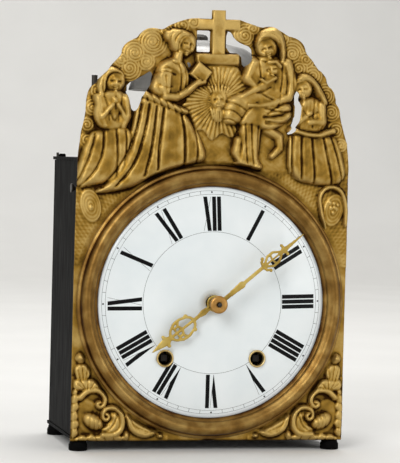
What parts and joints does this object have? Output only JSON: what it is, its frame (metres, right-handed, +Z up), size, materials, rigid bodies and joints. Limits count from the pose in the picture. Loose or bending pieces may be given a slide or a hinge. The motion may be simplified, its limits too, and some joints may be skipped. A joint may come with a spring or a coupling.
{
  "type": "morbier clock",
  "caption": "Weight-driven clock movement in a black iron cage, with a pressed brass pediment front, domed enamel dial, two hands and a bell struck on top.",
  "frame": {"origin": "on the floor under the middle of the clock's box", "axes": "+Z up, the dial faces -Y, +X to the right as seen from the front"},
  "size_m": [0.2746, 0.1794, 0.4265],
  "materials": {
    "gilt_brass": "pressed, lacquered",
    "clock_brass": "satin",
    "black_iron": "satin",
    "bright_iron": "satin",
    "bell_metal": "dull",
    "white_enamel": "gloss"
  },
  "bodies": {
    "cage": {"back_panel": "black_iron", "bell": "bell_metal", "bell_nut": "bright_iron", "bell_post": "bright_iron", "bottom_plate": "black_iron", "centre_bar_back": "black_iron", "centre_bar_front": "black_iron", "dial_bezel": "gilt_brass", "enamel_dial": "white_enamel", "foot_back_left": "black_iron", "foot_back_right": "black_iron", "foot_front_left": "black_iron", "foot_front_right": "black_iron", "front_strap_lower": "black_iron", "front_strap_upper": "black_iron", "going_bar_back": "black_iron", "going_bar_front": "black_iron", "hinge_rod_left": "bright_iron", "hinge_rod_right": "bright_iron", "minute_stud": "bright_iron", "pillar_back_left": "black_iron", "pillar_back_right": "black_iron", "pillar_front_left": "black_iron", "pillar_front_right": "black_iron", "pressed_front": "gilt_brass", "strike_bar_back": "black_iron", "strike_bar_front": "black_iron", "top_plate": "black_iron", "winding_collar_left": "gilt_brass", "winding_collar_right": "gilt_brass"},
    "side_door_left": {"side_door_left": "black_iron", "door_pull_left": "bright_iron"},
    "side_door_right": {"side_door_right": "black_iron", "door_pull_right": "bright_iron"},
    "minute": {"centre_arbor": "bright_iron", "centre_wheel": "clock_brass", "cannon_pinion": "bright_iron", "minute_hand": "gilt_brass", "hand_collet": "gilt_brass"},
    "hour": {"hour_wheel": "clock_brass", "hour_hand": "gilt_brass"},
    "minute_wheel": {"minute_wheel": "clock_brass"},
    "going_great_wheel": {"going_great_wheel": "clock_brass"},
    "going_barrel": {"going_barrel": "clock_brass"},
    "third": {"third_arbor": "bright_iron", "third_wheel": "clock_brass"},
    "escape": {"escape_arbor": "bright_iron", "escape_wheel": "clock_brass"},
    "anchor": {"anchor": "bright_iron", "anchor_arbor": "bright_iron", "crutch": "bright_iron"},
    "strike_great_wheel": {"strike_great_wheel": "clock_brass"},
    "strike_barrel": {"strike_barrel": "clock_brass"},
    "pin_wheel": {"pin_wheel_arbor": "bright_iron", "pin_wheel": "clock_brass"},
    "fly": {"fly_arbor": "bright_iron", "fly": "clock_brass"},
    "hammer": {"hammer_arbor": "bright_iron", "hammer_head": "bright_iron"}
  },
  "joints": [
    {"name": "left_door", "type": "hinge", "parent": "cage", "child": "side_door_left", "pos_m": [-0.1291, 0.08585, 0.1455], "axis": [0, 0, -1], "range_deg": [0, 100]},
    {"name": "right_door", "type": "hinge", "parent": "cage", "child": "side_door_right", "pos_m": [0.1291, 0.08585, 0.1455], "axis": [0, 0, 1], "range_deg": [0, 100]},
    {"name": "minute_turn", "type": "hinge", "parent": "cage", "child": "minute", "pos_m": [0, 0.01725, 0.1443], "axis": [0, 1, 0], "continuous": true},
    {"name": "hour_turn", "type": "hinge", "parent": "cage", "child": "hour", "pos_m": [0, 0.01725, 0.1443], "axis": [0, 1, 0], "continuous": true},
    {"name": "minute_wheel_turn", "type": "hinge", "parent": "cage", "child": "minute_wheel", "pos_m": [0, 0.01725, 0.1123], "axis": [0, 1, 0], "continuous": true},
    {"name": "going_great_turn", "type": "hinge", "parent": "cage", "child": "going_great_wheel", "pos_m": [0.0458, 0.01725, 0.0903], "axis": [0, 1, 0], "continuous": true},
    {"name": "going_winding", "type": "hinge", "parent": "going_great_wheel", "child": "going_barrel", "pos_m": [0.0458, 0.01725, 0.0903], "axis": [0, 1, 0], "continuous": true},
    {"name": "third_turn", "type": "hinge", "parent": "cage", "child": "third", "pos_m": [0.041, 0.01725, 0.1703], "axis": [0, 1, 0], "continuous": true},
    {"name": "escape_turn", "type": "hinge", "parent": "cage", "child": "escape", "pos_m": [0, 0.01725, 0.1989], "axis": [0, 1, 0], "continuous": true},
    {"name": "anchor_rock", "type": "hinge", "parent": "cage", "child": "anchor", "pos_m": [0, 0.01725, 0.2379], "axis": [0, 1, 0], "range_deg": [-4, 4]},
    {"name": "strike_great_turn", "type": "hinge", "parent": "cage", "child": "strike_great_wheel", "pos_m": [-0.0458, 0.01725, 0.0903], "axis": [0, 1, 0], "continuous": true},
    {"name": "strike_winding", "type": "hinge", "parent": "strike_great_wheel", "child": "strike_barrel", "pos_m": [-0.0458, 0.01725, 0.0903], "axis": [0, 1, 0], "continuous": true},
    {"name": "pin_wheel_turn", "type": "hinge", "parent": "cage", "child": "pin_wheel", "pos_m": [-0.0508, 0.01725, 0.1523], "axis": [0, 1, 0], "continuous": true},
    {"name": "fly_turn", "type": "hinge", "parent": "cage", "child": "fly", "pos_m": [-0.0508, 0.01725, 0.1923], "axis": [0, 1, 0], "continuous": true},
    {"name": "hammer_draw", "type": "hinge", "parent": "cage", "child": "hammer", "pos_m": [-0.102, 0.03925, 0.21], "axis": [0, 0, -1], "range_deg": [0, 12]}
  ],
  "couplings": [
    {"joint": "minute_turn", "follows": "third_turn", "ratio": -0.16667},
    {"joint": "escape_turn", "follows": "third_turn", "ratio": -6},
    {"joint": "going_great_turn", "follows": "third_turn", "ratio": 0.027778},
    {"joint": "minute_wheel_turn", "follows": "third_turn", "ratio": 0.055556},
    {"joint": "hour_turn", "follows": "third_turn", "ratio": -0.013889},
    {"joint": "strike_great_turn", "follows": "pin_wheel_turn", "ratio": -0.16667},
    {"joint": "fly_turn", "follows": "pin_wheel_turn", "ratio": -5}
  ]
}
